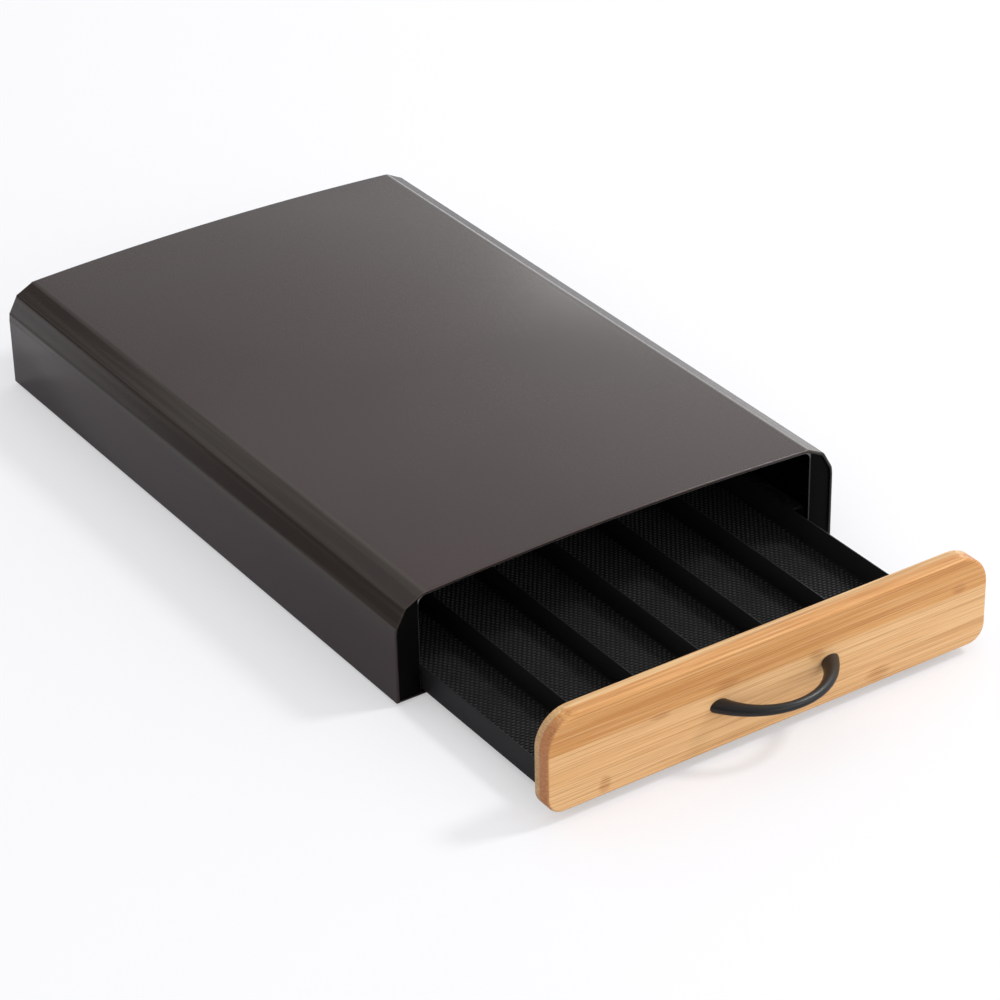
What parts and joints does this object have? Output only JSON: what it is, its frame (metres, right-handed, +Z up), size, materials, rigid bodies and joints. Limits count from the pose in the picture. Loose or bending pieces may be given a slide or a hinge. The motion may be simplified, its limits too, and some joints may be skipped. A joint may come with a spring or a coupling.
{
  "type": "coffee pod drawer",
  "caption": "Low black sheet-steel casing with rounded top edges and a sliding pod tray behind a bamboo front with a bow handle.",
  "frame": {"origin": "on the table, under the centre of the object's overall box with the drawer pulled out as pictured", "axes": "+X to the right seen from the front, +Y to the back, +Z up; the drawer slides out along -Y"},
  "size_m": [0.28, 0.5744, 0.066],
  "materials": {
    "casing_steel": "satin black powder coat",
    "tray_steel": "matte black powder coat",
    "galvanised_steel": "dull zinc",
    "zinc_fasteners": "bright zinc",
    "runner_plastic": "matte",
    "black_rubber": "matte",
    "lane_mat_rubber": "textured",
    "bamboo_honey": "satin oiled",
    "bamboo_pale": "satin oiled",
    "handle_black": "matte black"
  },
  "bodies": {
    "casing": {"casing_shell": "casing_steel", "front_frame": "tray_steel", "back_panel": "casing_steel", "base_pan": "casing_steel", "left_guide_rail": "galvanised_steel", "right_guide_rail": "galvanised_steel", "left_runner_strip": "runner_plastic", "right_runner_strip": "runner_plastic", "left_stop_pad": "black_rubber", "right_stop_pad": "black_rubber", "left_rear_pad": "black_rubber", "right_rear_pad": "black_rubber", "rubber_foot_front_left": "black_rubber", "rubber_foot_front_right": "black_rubber", "rubber_foot_rear_left": "black_rubber", "rubber_foot_rear_right": "black_rubber"},
    "drawer": {"tray_base": "tray_steel", "tray_front_wall": "tray_steel", "tray_rear_wall": "tray_steel", "tray_left_wall": "tray_steel", "tray_right_wall": "tray_steel", "left_stop_ear": "galvanised_steel", "right_stop_ear": "galvanised_steel", "left_ear_rivets": "zinc_fasteners", "right_ear_rivets": "zinc_fasteners", "bamboo_back_ply": "bamboo_pale", "bamboo_front_ply": "bamboo_honey", "bow_handle": "handle_black", "handle_screws": "zinc_fasteners", "panel_screws": "zinc_fasteners", "lane_divider_1": "tray_steel", "lane_divider_2": "tray_steel", "lane_divider_3": "tray_steel", "lane_divider_4": "tray_steel", "lane_divider_5": "tray_steel", "lane_mat_1": "lane_mat_rubber", "lane_mat_2": "lane_mat_rubber", "lane_mat_3": "lane_mat_rubber", "lane_mat_4": "lane_mat_rubber", "lane_mat_5": "lane_mat_rubber", "lane_mat_6": "lane_mat_rubber"}
  },
  "joints": [
    {"name": "drawer_slide", "type": "slide", "parent": "casing", "child": "drawer", "axis": [0, -1, 0], "range_m": [-0.118, 0.1865]}
  ]
}
